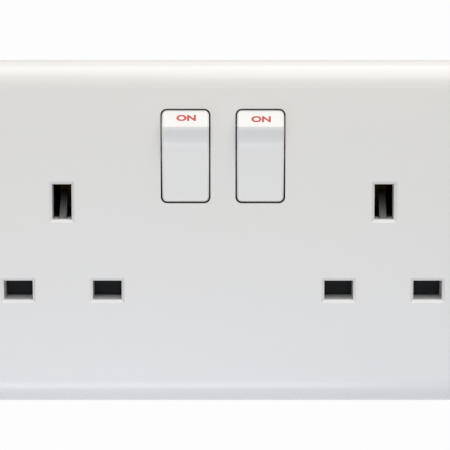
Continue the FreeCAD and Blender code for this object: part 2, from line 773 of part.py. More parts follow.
def shutter_spring(side):
    """Wind the spring that lifts a shutter shut, standing on the housing's lower wall."""
    length = f"{BLADE_FOOT} - {WELL_BOTTOM}"
    name = f"{side}_shutter_spring"
    spring = coil(name, "shutter_spring_radius", "shutter_spring_wire", length, "shutter_spring_turns")
    middle = f"({SHUTTER_FRONT} + {SHUTTER_REAR}) / 2"
    place(spring, f"{SIDES[side]} * socket_pitch / 2", middle, WELL_BOTTOM)


def housing_outline(inset):
    """Give the housing's outline, with a bay on each side for the fixing boss."""
    side = f"(housing_width / 2 - {inset})"
    bay = f"({FIXING_REACH} - boss_radius - bay_gap - {inset})"
    bay_half = f"(boss_radius + bay_gap + {inset})"
    top = f"(housing_top - {inset})"
    bottom = f"({inset} - housing_bottom)"
    right = [
        (side, bottom),
        (side, f"-{bay_half}"),
        (bay, f"-{bay_half}"),
        (bay, bay_half),
        (side, bay_half),
        (side, top),
    ]
    left = [(f"-{across}", up) for across, up in reversed(right)]
    return right + left


def rear_housing():
    """Mould the rear housing: a tray with trenches for the metalwork and bays for the terminals."""
    body = new_body("rear_housing")
    rear = "housing_depth"
    add(body, "y", HOUSING_FRONT, rear, housing_outline("0"))
    side, top, bottom = value("housing_width / 2"), value("housing_top"), value("-housing_bottom")

    def stands_at_a_corner(edge):
        middle = edge.CenterOfMass
        at_an_end = min(abs(middle.z - top), abs(middle.z - bottom)) < NEAR
        return edge.BoundBox.YLength > edge.Length / 2 and at_an_end and abs(middle.x) > side - NEAR

    soften(body, "Fillet", "housing_corner", stands_at_a_corner)
    cut(body, "y", HOUSING_FRONT, DECK, housing_outline("housing_wall"))
    for side in SIDES:
        cut(body, "y", DECK, BAR_REAR, live_outline(side, "fit_gap"))
    cut(body, "y", DECK, BAR_REAR, neutral_outline("fit_gap"))
    cut(body, "y", DECK, LIVE_REAR, live_bar_outline("fit_gap"))
    earth_reach = f"socket_pitch / 2 + {LEAF_OUTSIDE} + leaf_thickness + fit_gap"
    cut(body, "y", DECK, EARTH_REAR, box("0", "earth_height", earth_reach, "earth_bar_width / 2 + fit_gap"))
    earth_half = (f"{LEAF_OUTSIDE} + leaf_thickness + fit_gap", "earth_slot_height / 2")
    cut(body, "y", DECK, EARTH_FRONT, *[box(axis, "earth_height", *earth_half) for axis in sockets()])
    line_half = ("line_slot_width / 2", f"{LEAF_INSIDE} + flare_room")
    cut(body, "y", DECK, BAR_FRONT, *[box(across, LINE_HEIGHT, *line_half) for across in line_slots()])
    for middle in rockers():
        low = "rocker_height - cavity_down"
        high = "rocker_height + cavity_up"
        half = "cavity_width / 2"
        cut(body, "y", DECK, BAR_FRONT, span(f"{middle} - {half}", f"{middle} + {half}", low, high))
        seat_edge = "rocker_height + seat_top + fit_gap"
        cut(body, "y", DECK, LIVE_REAR, span(f"{middle} - {half}", f"{middle} + {half}", seat_edge, high))
    wells = []
    for axis in sockets():
        reach = "shutter_spring_radius + shutter_spring_wire"
        wells.append(span(f"{axis} - ({reach})", f"{axis} + {reach}", WELL_BOTTOM, BLADE_FOOT))
    middle = f"({SHUTTER_FRONT} + {SHUTTER_REAR}) / 2"
    cut(body, "y", DECK, f"{middle} + shutter_spring_radius + shutter_spring_wire", *wells)
    for name, (across, height, seat) in TERMINALS.items():
        left = f"{across} - terminal_width / 2 - fit_gap"
        right = f"{across} + terminal_width / 2 + fit_gap"
        end = f"{height} - terminal_height / 2 - fit_gap"
        bay = span(left, right, end, "housing_top")
        if name != "live":
            bay = span(left, right, "-housing_bottom", f"{height} + terminal_height / 2 + fit_gap")
        cut(body, "y", seat, rear, bay)
    holes = [Circle(across, height, "screw_radius + fit_gap") for across, height in pillars()]
    cut(body, "y", DECK, rear, *holes)
    head_room = [Circle(across, height, "screw_head_radius + fit_gap") for across, height in pillars()]
    cut(body, "y", CLAMP_REAR, rear, *head_room)


def assembly_screws():
    """Turn the four screws that hold the housing to the face plate."""
    body = new_body("assembly_screws")
    shanks = [Circle(across, height, "screw_radius") for across, height in pillars()]
    add(body, "y", f"{PILLAR_END} - screw_reach", CLAMP_REAR, *shanks)
    heads = [Circle(across, height, "screw_head_radius") for across, height in pillars()]
    add(body, "y", CLAMP_REAR, f"{CLAMP_REAR} + screw_head", *heads)


face_plate()
rear_housing()
for side_name in SIDES:
    rocker(side_name)
    plunger(side_name)
    plunger_spring(side_name)
    moving_contact(side_name)
    moving_tip(side_name)
    live_contact(side_name)
    shutter(side_name)
    shutter_spring(side_name)
fixed_tips()
live_bar()
neutral_bar()
earth_bar()
for terminal_name in TERMINALS:
    terminal(terminal_name)
    terminal_screw(terminal_name)
assembly_screws()
doc.recompute()

for item in doc.Objects:
    if "Invalid" in item.State or "Error" in item.State:
        raise RuntimeError(f"{item.Label} failed: {item.State}")
    is_cut = item.isDerivedFrom("PartDesign::Pocket")
    if is_cut and item.Shape.Volume > item.BaseFeature.Shape.Volume - NEAR:
        raise RuntimeError(f"{item.Label} cuts nothing")

pieces = [item for item in doc.Objects if item.TypeId in ("PartDesign::Body", "Part::Feature")]
for item in pieces:
    if item.Shape.isNull() or not item.Shape.isValid():
        raise RuntimeError(f"{item.Label} has no valid shape")

os.makedirs("parts", exist_ok=True)
for item in pieces:
    item.Shape.exportStep(f"parts/{item.Label}.step")
    print(item.Label, len(item.Shape.Solids), round(item.Shape.Volume, 1))
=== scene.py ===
# %% [markdown]
# # A twin switched socket, dressed in Blender
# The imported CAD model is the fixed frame: every solid already has its true size and place, in metres. This
# lesson gives each solid the finish of the real material, adds the printed words on the rockers, winds the
# springs from round wire, cuts the drives of the small screws, and lights the part as a plain product
# photograph.

# %% Load the frame
import json
import math

import bmesh
import bpy
from mathutils import Matrix, Vector


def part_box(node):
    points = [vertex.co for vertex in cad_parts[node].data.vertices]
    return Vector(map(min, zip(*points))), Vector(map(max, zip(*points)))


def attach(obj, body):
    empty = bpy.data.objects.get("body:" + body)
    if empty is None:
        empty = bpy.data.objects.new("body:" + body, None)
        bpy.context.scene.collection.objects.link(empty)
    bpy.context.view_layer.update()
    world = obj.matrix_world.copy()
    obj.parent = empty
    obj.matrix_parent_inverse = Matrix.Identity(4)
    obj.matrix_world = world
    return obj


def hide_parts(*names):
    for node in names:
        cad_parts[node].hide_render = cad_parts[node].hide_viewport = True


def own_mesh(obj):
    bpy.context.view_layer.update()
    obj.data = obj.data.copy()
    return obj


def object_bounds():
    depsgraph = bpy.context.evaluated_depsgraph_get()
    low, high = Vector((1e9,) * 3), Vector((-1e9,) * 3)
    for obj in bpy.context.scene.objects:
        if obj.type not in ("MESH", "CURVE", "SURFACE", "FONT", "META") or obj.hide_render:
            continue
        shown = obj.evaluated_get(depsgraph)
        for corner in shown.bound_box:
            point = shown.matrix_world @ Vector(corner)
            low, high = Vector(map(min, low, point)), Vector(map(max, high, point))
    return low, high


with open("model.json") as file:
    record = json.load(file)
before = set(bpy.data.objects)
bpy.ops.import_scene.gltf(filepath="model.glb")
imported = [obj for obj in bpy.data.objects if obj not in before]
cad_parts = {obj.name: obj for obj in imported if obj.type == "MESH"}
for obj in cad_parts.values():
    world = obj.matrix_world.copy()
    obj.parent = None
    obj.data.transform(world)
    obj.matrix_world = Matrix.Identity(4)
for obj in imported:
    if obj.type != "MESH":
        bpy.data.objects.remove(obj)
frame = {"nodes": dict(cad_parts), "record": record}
cad_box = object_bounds()
nodes = frame["nodes"]
MM = 0.001

# %% [markdown]
# ## Colour and node helpers
# Colours are written as sRGB hex values, as a paint chart gives them, but shaders work in linear light, so
# one function turns the one into the other. A second function adds a shader node together with its settings
# and links, which keeps each material short enough to read as a recipe, and a third starts a material.

# %% Colour and node helpers
def linear(code):
    """Turn an sRGB hex colour into linear RGBA."""
    parts = [int(code[place:place + 2], 16) / 255 for place in (1, 3, 5)]
    return [part / 12.92 if part <= 0.04045 else ((part + 0.055) / 1.055) ** 2.4 for part in parts] + [1.0]


def add_node(tree, kind, inputs, stops=(), **settings):
    """Add a shader node; an input is a value or another node's output, and stops fill a colour ramp."""
    node = tree.nodes.new(kind)
    for name, setting in settings.items():
        setattr(node, name, setting)
    for name, given in inputs.items():
        if isinstance(given, bpy.types.NodeSocket):
            tree.links.new(given, node.inputs[name])
        else:
            node.inputs[name].default_value = given
    for index, (position, code) in enumerate(stops):
        stop = node.color_ramp.elements[index]
        stop.position, stop.color = position, linear(code)
    return node


def start_material(name):
    """Start a material with one Principled shader and return it with its tree."""
    material = bpy.data.materials.new(name)
    material.use_nodes = True
    tree = material.node_tree
    return material, tree, tree.nodes["Principled BSDF"]


print("mid grey in linear light:", round(linear("#808080")[0], 3))

# %% [markdown]
# ## The white of a moulding
# The face plate and the rockers are white plastics that have been on a wall for years. The powder flows and
# cures a little unevenly, so the white has a barely visible cloudiness, about 22 mm across. The colour is
# also painted to drift with the height, warmer at the top and cooler at the bottom: painted light, for a warm
# lamp above and cool light from below. A painted image would have to be unwrapped onto every face. Noise and
# the height need no unwrapping and leave no seams.
#
# Dirt from hands and dust settles where nothing wipes it, in the narrow gaps round the rockers, and shade
# falls there too. Ambient occlusion over 0.8 mm finds those gaps and turns the plastic there brown-black:
# a little dirt, but mostly painted shade.

# %% The white of a moulding
# Millimetres across a cloud, how much the clouds count, and how narrow a gap in mm takes dirt and painted
# shade
CLOUD, CLOUD_SHARE = 22, 0.4
DIRT_AND_SHADE_GAP = 0.8


def per_mm(size):
    """Give the texture scale whose features are about this many millimetres across."""
    return 1 / (size * MM)


def clouded_white_painted_tone_and_shade(tree, place, share, upper, lower):
    """Colour a white plastic: clouds, painted light over the height's share, dirt and painted shade in gaps.
    """
    clouds = add_node(tree, "ShaderNodeTexNoise", {"Vector": place, "Scale": per_mm(CLOUD), "Detail": 3})
    # The share of the height blends the lower colour into the upper: painted light, warm from above and cool
    # from below
    clouds_and_painted_tone = add_node(
        tree, "ShaderNodeMath", {0: clouds.outputs["Fac"], 1: CLOUD_SHARE, 2: share}, operation="MULTIPLY_ADD"
    )
    tint = add_node(
        tree, "ShaderNodeValToRGB", {"Fac": clouds_and_painted_tone.outputs["Value"]}, stops=[(0.25, lower), (1.0, upper)]
    )
    # Brown-black where ambient occlusion finds a narrow gap: a little dirt, mostly painted shade
    crevice = add_node(tree, "ShaderNodeAmbientOcclusion", {"Distance": DIRT_AND_SHADE_GAP * MM}, samples=8)
    grime_and_painted_shade = add_node(
        tree, "ShaderNodeMapRange",
        {"Value": crevice.outputs["AO"], "From Min": 0.25, "From Max": 0.6, "To Min": 0.85, "To Max": 0.0},
    )
    colour = add_node(
        tree, "ShaderNodeMix",
        {"Factor": grime_and_painted_shade.outputs["Result"], 6: tint.outputs["Color"], 7: linear("#3A322B")},
        data_type="RGBA",
    )
    return colour.outputs[2]


# The gap width is where dirt and painted shade darken the plastic
print("clouds:", CLOUD, "mm, grime in gaps of", DIRT_AND_SHADE_GAP, "mm")

# %% [markdown]
# ## The skin of a moulding
# Moulded plastic shrinks as it sets, so its face is seldom dead flat: it swells or falls away by tenths of a
# millimetre, and it has a faint orange peel. Solids could have such a swell only with many more facets, and
# a camera sees it only in the highlights. So a curve over the height gives it to the bump, together with
# the peel. A bevel node rounds the narrow edges in the shading, as a mould's broken edges are.

# %% The skin of a moulding
# Millimetres from the bottom to the top of the orange peel
PEEL_HEIGHT = 0.001


def moulded_skin(tree, place, share, ripple, edge, swell):
    """Bump a face by its swell in mm at shares of the height and by ripples, and round its edges."""
    form = add_node(tree, "ShaderNodeFloatCurve", {"Value": share})
    points = form.mapping.curves[0].points
    # The curve runs from 0 to 1, so it holds rises from -1 mm to 1 mm at half their size
    points[0].location, points[1].location = (0, 0.5 + swell[0][1] / 2), (1, 0.5 + swell[-1][1] / 2)
    for at, rise in swell[1:-1]:
        points.new(at, 0.5 + rise / 2)
    form.mapping.update()
    peel = add_node(tree, "ShaderNodeTexNoise", {"Vector": place, "Scale": per_mm(ripple), "Detail": 2})
    skin = add_node(
        tree, "ShaderNodeMath", {0: peel.outputs["Fac"], 1: PEEL_HEIGHT * MM}, operation="MULTIPLY"
    )
    surface = add_node(
        tree, "ShaderNodeMath",
        {0: form.outputs["Value"], 1: 2 * MM, 2: skin.outputs["Value"]}, operation="MULTIPLY_ADD",
    )
    broken = add_node(tree, "ShaderNodeBevel", {"Radius": edge * MM}, samples=6)
    bump = add_node(
        tree, "ShaderNodeBump",
        {
            "Height": surface.outputs["Value"], "Strength": 1.0, "Distance": 1.0,
            "Normal": broken.outputs["Normal"],
        },
    )
    return bump.outputs["Normal"]


print("orange peel:", PEEL_HEIGHT, "mm high")

# %% [markdown]
# ## Urea moulding, polished
# The face plate is pressed from urea formaldehyde, a hard white thermoset that copies a polished steel
# mould. The eye sees a smooth, clean white with a soft gloss, which varies a little in patches about 6 mm
# across, and ripples about 1.6 mm across. The plate falls away by half a millimetre towards its upper and
# lower edges. One recipe makes this white and the rockers', since only the numbers differ.

# %% Urea moulding, polished
# Millimetres across a patch in the polish
POLISH = 6


def white_moulding(name, upper, lower, roughness, ripple, edge, span, swell):
    """Make a white plastic; swell is the face's form in mm at shares of the span of heights in mm."""
    material, tree, shader = start_material(name)
    place = add_node(tree, "ShaderNodeTexCoord", {}).outputs["Object"]
    height = add_node(tree, "ShaderNodeSeparateXYZ", {"Vector": place}).outputs["Z"]
    share = add_node(
        tree, "ShaderNodeMapRange", {"Value": height, "From Min": span[0] * MM, "From Max": span[1] * MM}
    ).outputs["Result"]
    polish = add_node(tree, "ShaderNodeTexNoise", {"Vector": place, "Scale": per_mm(POLISH), "Detail": 4})
    gloss = add_node(
        tree, "ShaderNodeMapRange",
        {"Value": polish.outputs["Fac"], "To Min": roughness - 0.02, "To Max": roughness + 0.03},
    )
    tree.links.new(clouded_white_painted_tone_and_shade(tree, place, share, upper, lower), shader.inputs["Base Color"])
    tree.links.new(gloss.outputs["Result"], shader.inputs["Roughness"])
    tree.links.new(moulded_skin(tree, place, share, ripple, edge, swell), shader.inputs["Normal"])
    shader.inputs["IOR"].default_value = 1.5
    return material


def paint(names, material):
    """Give solids one material."""
    for name in names:
        nodes[name].data.materials.clear()
        nodes[name].data.materials.append(material)


PLATE_SWELL = [
    (0, -0.5), (0.08, -0.3), (0.17, -0.04), (0.24, 0), (0.5, 0),
    (0.76, 0), (0.83, -0.04), (0.92, -0.3), (1, -0.5),
]
# Heights in mm of the plate's lower and upper edges
PLATE_SPAN = (-43, 43)
# The upper colour is warmer and the lower cooler: painted light, warm from above and cool from below
urea = white_moulding(
    "urea_moulding_polished", "#E8E6E2", "#E6E6E7", roughness=0.25, ripple=1.6, edge=0.15,
    span=PLATE_SPAN, swell=PLATE_SWELL,
)
paint(["face_plate"], urea)
print("face plate:", urea.name)

# %% [markdown]
# ## Polycarbonate rockers
# The rockers are injection moulded in polycarbonate, which is tougher than urea and a touch whiter. Below
# its crest each one is hollowed for the fingertip. The solid has that hollow, and a curve of the same kind
# as the plate's deepens its shading. The rims are broken by a third of a millimetre, which the bevel node
# rounds well enough without more facets.

# %% Polycarbonate rockers
ROCKER_SCOOP = [
    (0, -0.8), (0.14, -0.81), (0.25, -0.74), (0.35, -0.58), (0.45, -0.43), (0.53, -0.37),
    (0.61, -0.41), (0.71, -0.56), (0.77, -0.53), (0.82, -0.37), (0.92, 0.25), (1, 0.78),
]
# Heights in mm between which the rockers' faces are hollowed
SCOOP_SPAN = (8.3, 27.5)
# As on the plate, the warmer upper and cooler lower colours are painted light
rocker_plastic = white_moulding(
    "polycarbonate_moulded_white", "#EEEDEB", "#ECEBE9", roughness=0.34, ripple=1.2, edge=0.35,
    span=SCOOP_SPAN, swell=ROCKER_SCOOP,
)
paint(["left_rocker", "right_rocker"], rocker_plastic)
print("rockers:", rocker_plastic.name)

# %% [markdown]
# ## Phenolic housing
# The rear housing is pressed from black phenolic, the wood-filled thermoset that stands the heat of a loose
# connection. Its skin is satin, with short brown-black flow streaks about 3 mm across and a fine grain,
# because the filler lies just under it. A photograph of such a skin could be wrapped round the box, but
# noise stretched along the depth, as the powder flows, has no seams and no end. A dark housing is also what
# makes the slots and the gaps round the rockers look black.

# %% Phenolic housing
phenolic, tree, shader = start_material("phenolic_pressed_black")
place = add_node(tree, "ShaderNodeTexCoord", {}).outputs["Object"]
stretch = add_node(tree, "ShaderNodeMapping", {"Vector": place, "Scale": (1.0, 0.3, 1.0)})
streaks = add_node(
    tree, "ShaderNodeTexNoise", {"Vector": stretch.outputs["Vector"], "Scale": per_mm(3), "Detail": 5}
)
tint = add_node(
    tree, "ShaderNodeValToRGB", {"Fac": streaks.outputs["Fac"]}, stops=[(0.3, "#1E1C1A"), (0.7, "#2C2926")]
)
tree.links.new(tint.outputs["Color"], shader.inputs["Base Color"])
grain = add_node(tree, "ShaderNodeTexNoise", {"Vector": place, "Scale": per_mm(0.5), "Detail": 3})
bump = add_node(
    tree, "ShaderNodeBump", {"Height": grain.outputs["Fac"], "Strength": 0.25, "Distance": 0.03 * MM}
)
tree.links.new(bump.outputs["Normal"], shader.inputs["Normal"])
gloss = add_node(
    tree, "ShaderNodeMapRange", {"Value": streaks.outputs["Fac"], "To Min": 0.36, "To Max": 0.52}
)
tree.links.new(gloss.outputs["Result"], shader.inputs["Roughness"])
shader.inputs["IOR"].default_value = 1.6
paint(["rear_housing"], phenolic)
print("housing:", phenolic.name)

# %% [markdown]
# ## Nylon shutters and acetal plungers
# Shutters and plungers slide thousands of times, so they are moulded in waxy plastics that run without
# grease. The shutters are blue-black nylon, which makes an empty slot look deep. The foot of each ramp is
# painted a paler grey: a painted highlight, where light from above and in front falls into the earth slots.
# The plungers are acetal in its natural milky white, rubbed darker at the nose. A second material on some
# faces would end in a hard line, and wear and light both fade out, so the height blends the two colours.

# %% Nylon shutters and acetal plungers
def slick_plastic(name, pale, deep, wear_and_painted_highlight_colour, wear_and_painted_highlight_heights):
    """Make a scuffed waxy plastic with a second colour between heights in mm: scuffed noses, painted
    highlights.
    """
    material, tree, shader = start_material(name)
    place = add_node(tree, "ShaderNodeTexCoord", {}).outputs["Object"]
    along = add_node(tree, "ShaderNodeMapping", {"Vector": place, "Scale": (1.0, 1.0, 0.15)})
    scuffs = add_node(
        tree, "ShaderNodeTexNoise", {"Vector": along.outputs["Vector"], "Scale": per_mm(0.8), "Detail": 4}
    )
    tint = add_node(
        tree, "ShaderNodeValToRGB", {"Fac": scuffs.outputs["Fac"]}, stops=[(0.35, deep), (0.7, pale)]
    )
    height = add_node(tree, "ShaderNodeSeparateXYZ", {"Vector": place}).outputs["Z"]
    above = add_node(
        tree, "ShaderNodeMapRange", {"Value": height, "From Min": wear_and_painted_highlight_heights[0] * MM, "From Max": wear_and_painted_highlight_heights[1] * MM}
    )
    below = add_node(
        tree, "ShaderNodeMapRange", {"Value": height, "From Min": wear_and_painted_highlight_heights[3] * MM, "From Max": wear_and_painted_highlight_heights[2] * MM}
    )
    # The second colour: a painted highlight on the shutters, scuffing on the plungers
    wear_and_painted_highlight = add_node(
        tree, "ShaderNodeMath", {0: above.outputs["Result"], 1: below.outputs["Result"]}, operation="MULTIPLY"
    )
    colour = add_node(
        tree, "ShaderNodeMix",
        {"Factor": wear_and_painted_highlight.outputs["Value"], 6: tint.outputs["Color"], 7: linear(wear_and_painted_highlight_colour)}, data_type="RGBA",
    )
    tree.links.new(colour.outputs[2], shader.inputs["Base Color"])
    gloss = add_node(
        tree, "ShaderNodeMapRange", {"Value": scuffs.outputs["Fac"], "To Min": 0.34, "To Max": 0.52}
    )
    tree.links.new(gloss.outputs["Result"], shader.inputs["Roughness"])
    shader.inputs["IOR"].default_value = 1.48
    shader.inputs["Specular IOR Level"].default_value = 0.25
    return material


# Heights in mm: the second colour, a painted highlight at the ramps' foot and scuffing at the plunger noses,
# fades in between the first two and out between the last two
RAMP_PAINTED_HIGHLIGHT, PLUNGER_NOSE = (2.0, 3.2, 3.6, 10.2), (18.0, 19.0, 20.6, 21.6)
# The shutters' paler colour at the ramps' foot is a painted highlight
shutter_plastic = slick_plastic("nylon_moulded_blue_black", "#171C21", "#12161A", "#8C8B88", RAMP_PAINTED_HIGHLIGHT)
plunger_plastic = slick_plastic("acetal_moulded_natural", "#E4E3DA", "#D9D7CC", "#C4C0B2", PLUNGER_NOSE)
paint(["left_shutter", "right_shutter"], shutter_plastic)
paint(["left_plunger", "right_plunger"], plunger_plastic)
print("shutters and plungers:", shutter_plastic.name, plunger_plastic.name)

# %% [markdown]
# ## Rolled and drawn metal
# Strip is rolled and bar is drawn through a die, and both ways leave fine lines along the metal. Anisotropic
# gloss could stand for the lines, but it needs a direction on every face, which these solids don't have. So
# each metal has a noise in its roughness and its bump, stretched along the lines. The lines of real strip
# are finer than a render shows, so they are drawn coarser here. A slow stain varies the colour, since bare
# brass and silver dull unevenly.

# %% Rolled and drawn metal
# Millimetres across a stain
STAIN = 5


def drawn_metal(name, bright, dull, roughness, line, stretch):
    """Make a metal with fine lines in its gloss and a slow stain in its colour."""
    material, tree, shader = start_material(name)
    place = add_node(tree, "ShaderNodeTexCoord", {}).outputs["Object"]
    stain = add_node(tree, "ShaderNodeTexNoise", {"Vector": place, "Scale": per_mm(STAIN), "Detail": 4})
    tint = add_node(
        tree, "ShaderNodeValToRGB", {"Fac": stain.outputs["Fac"]}, stops=[(0.35, dull), (0.65, bright)]
    )
    tree.links.new(tint.outputs["Color"], shader.inputs["Base Color"])
    along = add_node(tree, "ShaderNodeMapping", {"Vector": place, "Scale": stretch})
    lines = add_node(
        tree, "ShaderNodeTexNoise", {"Vector": along.outputs["Vector"], "Scale": per_mm(line), "Detail": 3}
    )
    gloss = add_node(
        tree, "ShaderNodeMapRange",
        {"Value": lines.outputs["Fac"], "To Min": roughness - 0.08, "To Max": roughness + 0.12},
    )
    tree.links.new(gloss.outputs["Result"], shader.inputs["Roughness"])
    bump = add_node(
        tree, "ShaderNodeBump", {"Height": lines.outputs["Fac"], "Strength": 0.15, "Distance": 0.01 * MM}
    )
    tree.links.new(bump.outputs["Normal"], shader.inputs["Normal"])
    shader.inputs["Metallic"].default_value = 1.0
    return material


print("stains:", STAIN, "mm")

# %% [markdown]
# ## Brass, silver and steel
# Contacts are punched from rolled brass strip, terminals and their screws are cut from drawn brass bar,
# tips are silver, and springs and assembly screws are steel. The earth bar's brass is painted much darker,
# as shade deep behind the open slots. One table says which solid is made of what, as a parts list does.

# %% Brass, silver and steel
# Bright and dull colours, roughness, millimetres between the lines, and the lines' stretch
strip_brass = drawn_metal("brass_strip_rolled", "#9A7A44", "#6E5228", 0.34, 0.3, (0.1, 1.0, 1.0))
# The earth bar's brass is painted darker, as shade deep behind the slots
earth_brass_painted_shade = drawn_metal("brass_strip_painted_shade", "#5E4726", "#382711", 0.40, 0.3, (0.1, 1.0, 1.0))
bar_brass = drawn_metal("brass_bar_drawn", "#DCB870", "#C29A52", 0.28, 0.25, (1.0, 1.0, 0.1))
tip_silver = drawn_metal("silver_tip_rolled", "#DAD8D2", "#BEBAB0", 0.32, 0.3, (0.2, 1.0, 1.0))
spring_steel = drawn_metal("spring_steel_drawn", "#C4C5C7", "#9EA0A4", 0.30, 0.2, (1.0, 1.0, 1.0))
zinc_steel = drawn_metal("steel_zinc_plated", "#CFD2D4", "#B4B8BC", 0.34, 0.6, (1.0, 1.0, 1.0))
METAL_OF = {
    "live_bar": strip_brass, "neutral_bar": strip_brass, "earth_bar": earth_brass_painted_shade,
    "left_live_contact": strip_brass, "right_live_contact": strip_brass,
    "left_moving_contact": strip_brass, "right_moving_contact": strip_brass,
    "live_terminal": bar_brass, "neutral_terminal": bar_brass, "earth_terminal": bar_brass,
    "live_terminal_screw": bar_brass, "neutral_terminal_screw": bar_brass,
    "earth_terminal_screw": bar_brass,
    "left_moving_tip": tip_silver, "right_moving_tip": tip_silver, "fixed_tips": tip_silver,
    "left_plunger_spring": spring_steel, "right_plunger_spring": spring_steel,
    "left_shutter_spring": spring_steel, "right_shutter_spring": spring_steel,
    "assembly_screws": zinc_steel,
}
for name, metal in METAL_OF.items():
    paint([name], metal)
print("metal solids:", len(METAL_OF))

# %% [markdown]
# ## Red foil letters
# The ON on the rockers is hot-foil print, a flat layer of red with a crisp edge. Foil takes a little
# unevenly, in specks about a quarter of a millimetre across. An image on the rocker would blur close up, so
# Blender's own font gives the plain capitals, and the text is turned into a thin mesh.

# %% Red foil letters
foil, tree, shader = start_material("red_foil_printed")
place = add_node(tree, "ShaderNodeTexCoord", {}).outputs["Object"]
specks = add_node(tree, "ShaderNodeTexNoise", {"Vector": place, "Scale": per_mm(0.25), "Detail": 3})
tint = add_node(
    tree, "ShaderNodeValToRGB", {"Fac": specks.outputs["Fac"]}, stops=[(0.3, "#C23A34"), (0.6, "#CB4640")]
)
tree.links.new(tint.outputs["Color"], shader.inputs["Base Color"])
shader.inputs["Roughness"].default_value = 0.4


def shown_mesh(thing):
    """Give the mesh that an object shows once its curves and modifiers are worked out."""
    bpy.context.view_layer.update()
    return bpy.data.meshes.new_from_object(thing.evaluated_get(bpy.context.evaluated_depsgraph_get()))


letters = bpy.data.curves.new("on_letters", "FONT")
letters.body = "ON"
letters.align_x, letters.align_y = "CENTER", "CENTER"
letters.extrude = 0.008
letters.offset = 0.04
pattern = bpy.data.objects.new("on_letters", letters)
bpy.context.scene.collection.objects.link(pattern)
word_mesh = shown_mesh(pattern)
bpy.data.objects.remove(pattern)
word_mesh.materials.clear()
word_mesh.materials.append(foil)
print("letters:", len(word_mesh.polygons), "facets")

# %% [markdown]
# ## ON on each rocker
# The word is printed on the sloping band above each crest, so that it shows only when the switch is on. It
# lies in the band's plane a hair above the plastic and rides with its rocker. Its place could be typed in,
# but the band's plane comes from the rocker's own mesh, so the word stays on it if the rocker's shape
# changes.

# %% ON on each rocker
# Millimetres: the letters' scale across, up and out of the band, and the print's lift off the plastic
LETTER_SCALE = (3.05, 2.25, 2.5)
PRINT_LIFT = 0.03
# Each print sits a little off centre: millimetres to the right and up the band
PRINT_SHIFT = {"left": (0.26, 0.35), "right": (0.16, 0.0)}


def band_plane(rocker):
    """Find the middle and the normal of the broad flat that faces up and forward."""
    facets = [facet for facet in rocker.data.polygons if facet.normal.y < -0.4 and facet.normal.z > 0.4]
    broad = max(facets, key=lambda facet: facet.area)
    # The band is all facets that lie in the plane of the broadest one
    level = [facet for facet in facets if abs((facet.center - broad.center).dot(broad.normal)) < 0.01 * MM]
    area = sum(facet.area for facet in level)
    return sum((facet.center * facet.area for facet in level), Vector()) / area, broad.normal.copy()


letter_size = Matrix.Diagonal((*(scale * MM for scale in LETTER_SCALE), 1.0))
for side in ("left", "right"):
    middle, normal = band_plane(nodes[f"{side}_rocker"])
    across = Vector((1, 0, 0))
    up = normal.cross(across).normalized()
    shift_across, shift_up = PRINT_SHIFT[side]
    origin = middle + normal * PRINT_LIFT * MM + across * shift_across * MM + up * shift_up * MM
    turn = Matrix((across, up, normal)).transposed().to_4x4()
    word = bpy.data.objects.new(f"{side}_on_print", word_mesh.copy())
    word.data.transform(Matrix.Translation(origin) @ turn @ letter_size)
    bpy.context.scene.collection.objects.link(word)
    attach(word, f"{side}_switch")
    print(side, "print:", [round(length / MM, 2) for length in word.dimensions], "mm")

# %% [markdown]
# ## Wound wire
# A spring winder lays round wire round a mandrel and closes the end turns, so that the spring stands flat
# on its seats. In the solids the springs are wound in short straight runs, which is enough for their place
# and stiffness. Here they are wound again from round wire. Blender's screw modifier could wind even turns,
# but not the closed ends, so a curve with a round bevel climbs point by point.

# %% Wound wire
# Points of the curve in one turn
TURN_STEPS = 24


def wound_wire(name, foot, directions, length, radius, wire, turns):
    """Wind wire from a foot along the last of three directions; the radius and the wire are in mm."""
    across, beside, axis = directions
    steps = TURN_STEPS * turns
    # The closed end turns climb by one wire, and the turns between share the rest evenly
    free_climb = (length - 3 * wire * MM) / (turns - 2)
    climb = [wire * MM / 2]
    for step in range(steps):
        end_turn = step < TURN_STEPS or step >= steps - TURN_STEPS
        climb.append(climb[-1] + (wire * MM if end_turn else free_climb) / TURN_STEPS)
    wound = bpy.data.curves.new(f"{name}_wound", "CURVE")
    wound.dimensions = "3D"
    wound.bevel_depth = wire * MM / 2
    wound.bevel_resolution = 2
    wound.use_fill_caps = True
    line = wound.splines.new("POLY")
    line.points.add(steps)
    for step, (point, rise) in enumerate(zip(line.points, climb)):
        angle = math.tau * step / TURN_STEPS
        place = foot + axis * rise + (across * math.cos(angle) + beside * math.sin(angle)) * radius * MM
        point.co = (*place, 1)
    winding = bpy.data.objects.new("winding", wound)
    bpy.context.scene.collection.objects.link(winding)
    mesh = shown_mesh(winding)
    bpy.data.objects.remove(winding)
    return mesh


print("wire:", TURN_STEPS, "points to a turn")

# %% [markdown]
# ## Coil springs
# Four compression springs do the returning: one under each shutter and one behind each plunger. Each takes
# its place and length from the solid that it stands for. A spring has to shorten with its slide, and moving
# it whole would push it through a seat. Here each keeps its solid's length and moves whole with its body.

# %% Coil springs
JOINTS = {joint["name"]: joint for joint in frame["record"]["behaviour"]["joints"]}


